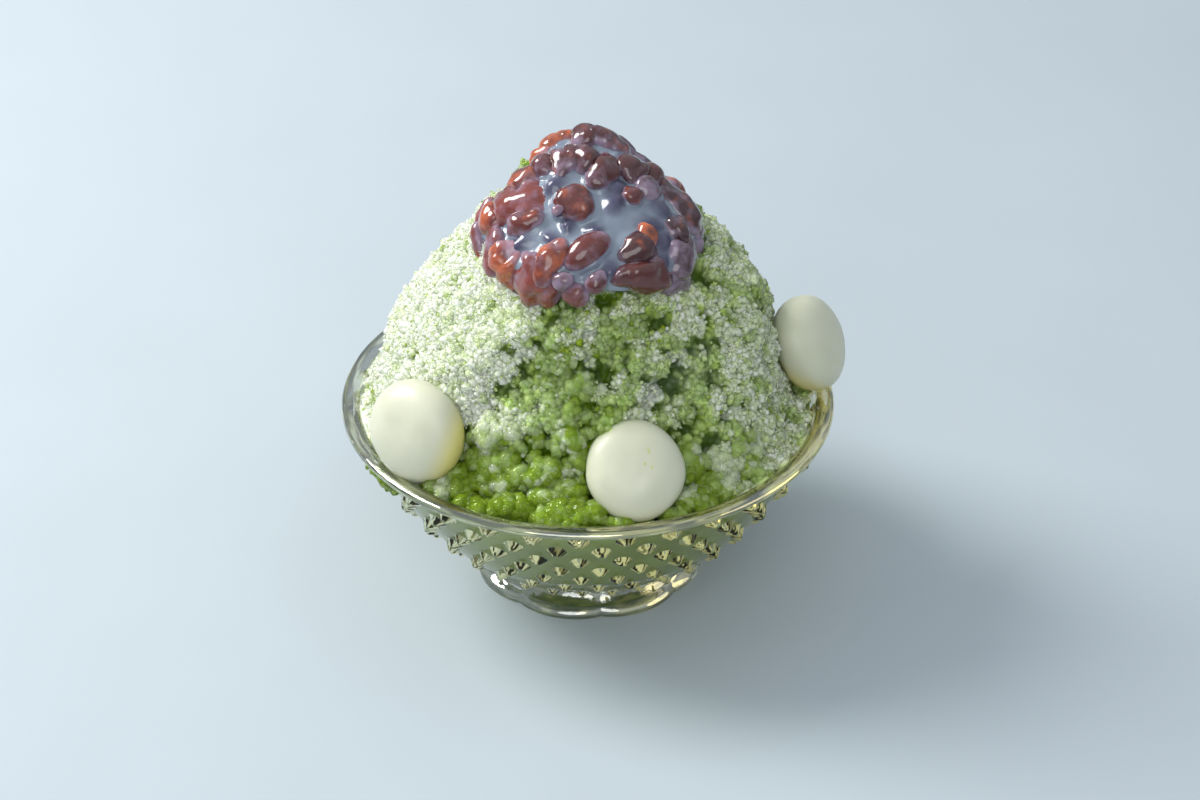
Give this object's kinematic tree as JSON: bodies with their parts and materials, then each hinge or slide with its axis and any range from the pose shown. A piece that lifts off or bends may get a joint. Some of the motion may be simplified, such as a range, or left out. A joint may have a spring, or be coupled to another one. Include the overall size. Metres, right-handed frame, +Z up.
{
  "type": "kakigori",
  "caption": "Green shaved ice heaped in a footed, studded glass dish, topped with sweet red beans in condensed milk, with white rice dumplings on the slope.",
  "frame": {"origin": "centre of the flat underside of the dish's foot", "axes": "+Z up the dish's axis, -Y towards the side with the front dumpling, +X towards the dumpling that leans over the rim"},
  "size_m": [0.1285, 0.125, 0.1269],
  "materials": {
    "clear_glass": "gloss",
    "green_ice": "satin",
    "beans_and_milk": "gloss",
    "rice_dough": "satin"
  },
  "bodies": {
    "root": {"glass_dish": "clear_glass", "ice_heap": "green_ice", "red_beans": "beans_and_milk", "dumpling_left": "rice_dough", "dumpling_front": "rice_dough", "dumpling_right": "rice_dough"}
  },
  "joints": []
}
